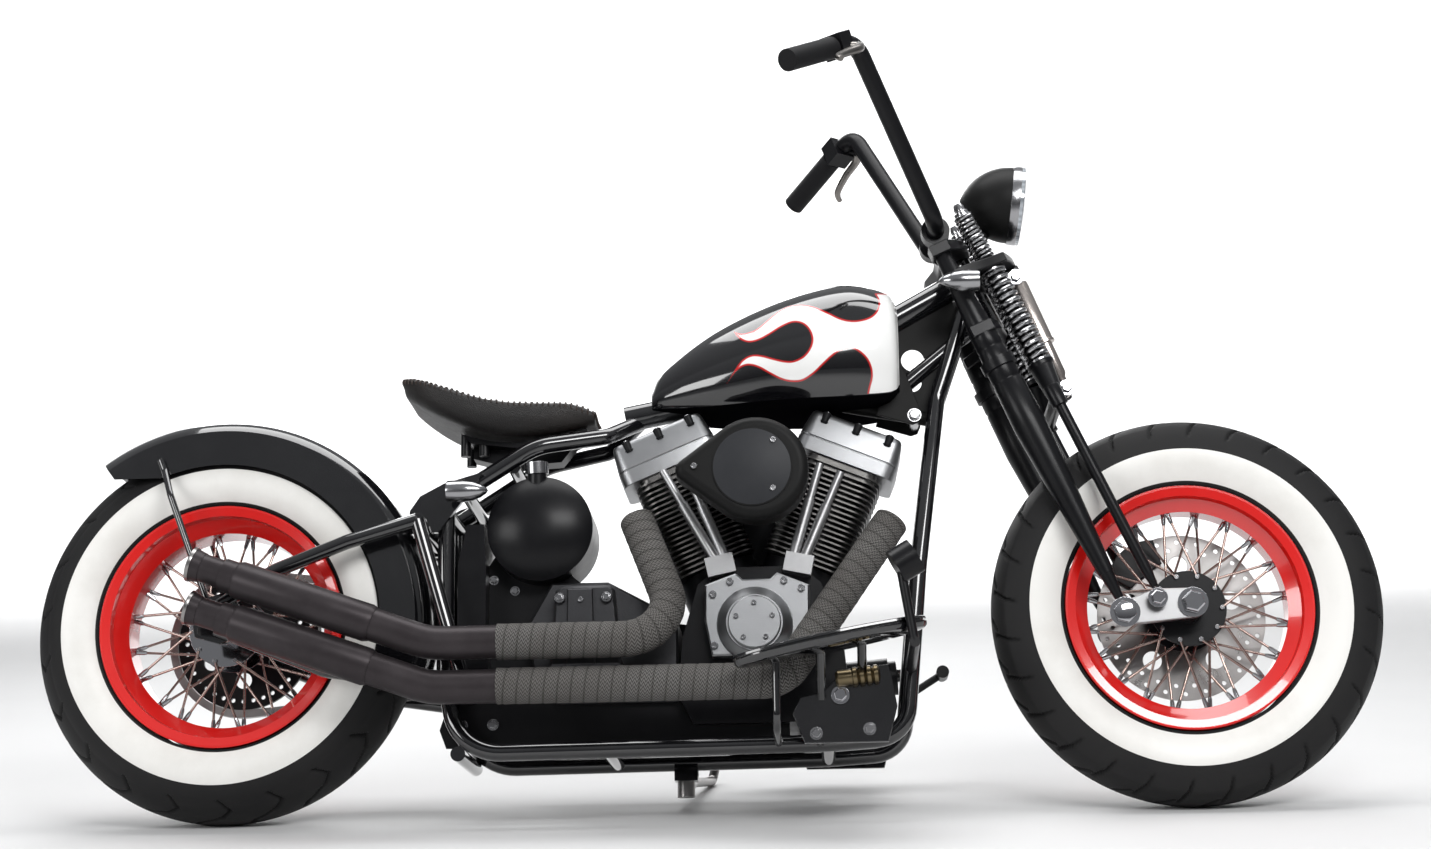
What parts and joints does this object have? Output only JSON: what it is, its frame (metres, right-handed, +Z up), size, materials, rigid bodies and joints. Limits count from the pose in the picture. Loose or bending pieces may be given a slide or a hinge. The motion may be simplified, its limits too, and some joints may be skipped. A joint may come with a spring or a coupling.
{
  "type": "chopper motorcycle",
  "caption": "Long springer-fork chopper with an air-cooled V-twin, open frame, solo seat, wrapped exhaust and laced wheels, leaning on its side stand.",
  "frame": {"origin": "on the ground, in the middle of the parked machine's length and width", "axes": "+X forward, +Y to the rider's left, +Z up; the machine leans 14 degrees to its left"},
  "size_m": [2.3968, 0.9531, 1.3858],
  "materials": {
    "black_gloss": "gloss black enamel",
    "black_flames": "gloss black enamel with white, red-edged flames",
    "black_satin": "satin black",
    "alloy": "satin cast aluminium",
    "polished": "polished aluminium",
    "chrome": "polished chrome",
    "steel": "brushed steel",
    "tyre": "black tread, white sidewall",
    "red_rim": "gloss red",
    "leather": "dark oiled leather",
    "heat_wrap": "woven heat wrap",
    "pipe_black": "matt high-temperature black",
    "rubber": "matt black rubber",
    "lens": "clear fluted glass"
  },
  "bodies": {
    "frame": {"main_frame": "black_gloss", "swingarm": "black_gloss", "rear_axle": "steel", "rear_fender": "black_gloss", "fuel_tank": "black_flames", "fuel_cap": "polished", "seat": "leather", "seat_pan": "black_gloss", "oil_tank": "black_satin", "oil_tank_cap": "polished", "battery_box": "black_satin", "crankcase": "alloy", "cylinders": "alloy", "rocker_boxes": "alloy", "pushrod_tubes": "chrome", "cam_cover": "alloy", "air_cleaner": "alloy", "transmission": "alloy", "primary_cover": "black_satin", "exhaust_headers": "heat_wrap", "exhaust_pipes": "pipe_black", "footboards": "rubber", "foot_controls": "black_satin", "oil_filter": "black_satin", "rear_turn_signals": "polished", "drive_chain": "steel", "rear_caliper": "black_satin"},
    "fork": {"fork_rear_legs": "pipe_black", "fork_front_rods": "pipe_black", "fork_springs": "chrome", "fork_shock": "chrome", "fork_rockers": "black_satin", "handlebar": "black_gloss", "bar_risers": "black_satin", "grips": "rubber", "bar_controls": "black_satin", "bar_levers": "polished", "headlamp_shell": "black_gloss", "headlamp_lens": "lens", "front_turn_signals": "polished", "front_caliper": "black_satin"},
    "front_wheel": {"front_tyre": "tyre", "front_rim": "red_rim", "front_spokes": "chrome", "front_hub": "chrome", "front_rotor": "steel"},
    "rear_wheel": {"rear_tyre": "tyre", "rear_rim": "red_rim", "rear_spokes": "chrome", "rear_hub": "chrome", "rear_sprocket": "black_satin"},
    "side_stand": {"side_stand": "steel"}
  },
  "joints": [
    {"name": "steering", "type": "hinge", "parent": "frame", "child": "fork", "pos_m": [0.4805, 0.02798, 0.95356], "axis": [-0.4067, 0.221, 0.8864], "range_deg": [-28, 28]},
    {"name": "front_wheel_spin", "type": "hinge", "parent": "fork", "child": "front_wheel", "pos_m": [0.8545, -0.12588, 0.33646], "axis": [0, 0.9703, -0.2419], "continuous": true},
    {"name": "rear_wheel_spin", "type": "hinge", "parent": "frame", "child": "rear_wheel", "pos_m": [-0.8545, -0.12588, 0.33646], "axis": [0, 0.9703, -0.2419], "continuous": true},
    {"name": "side_stand_fold", "type": "hinge", "parent": "frame", "child": "side_stand", "pos_m": [-0.0425, -0.08009, 0.03234], "axis": [0, 0.2419, 0.9703], "range_deg": [0, 75]}
  ]
}
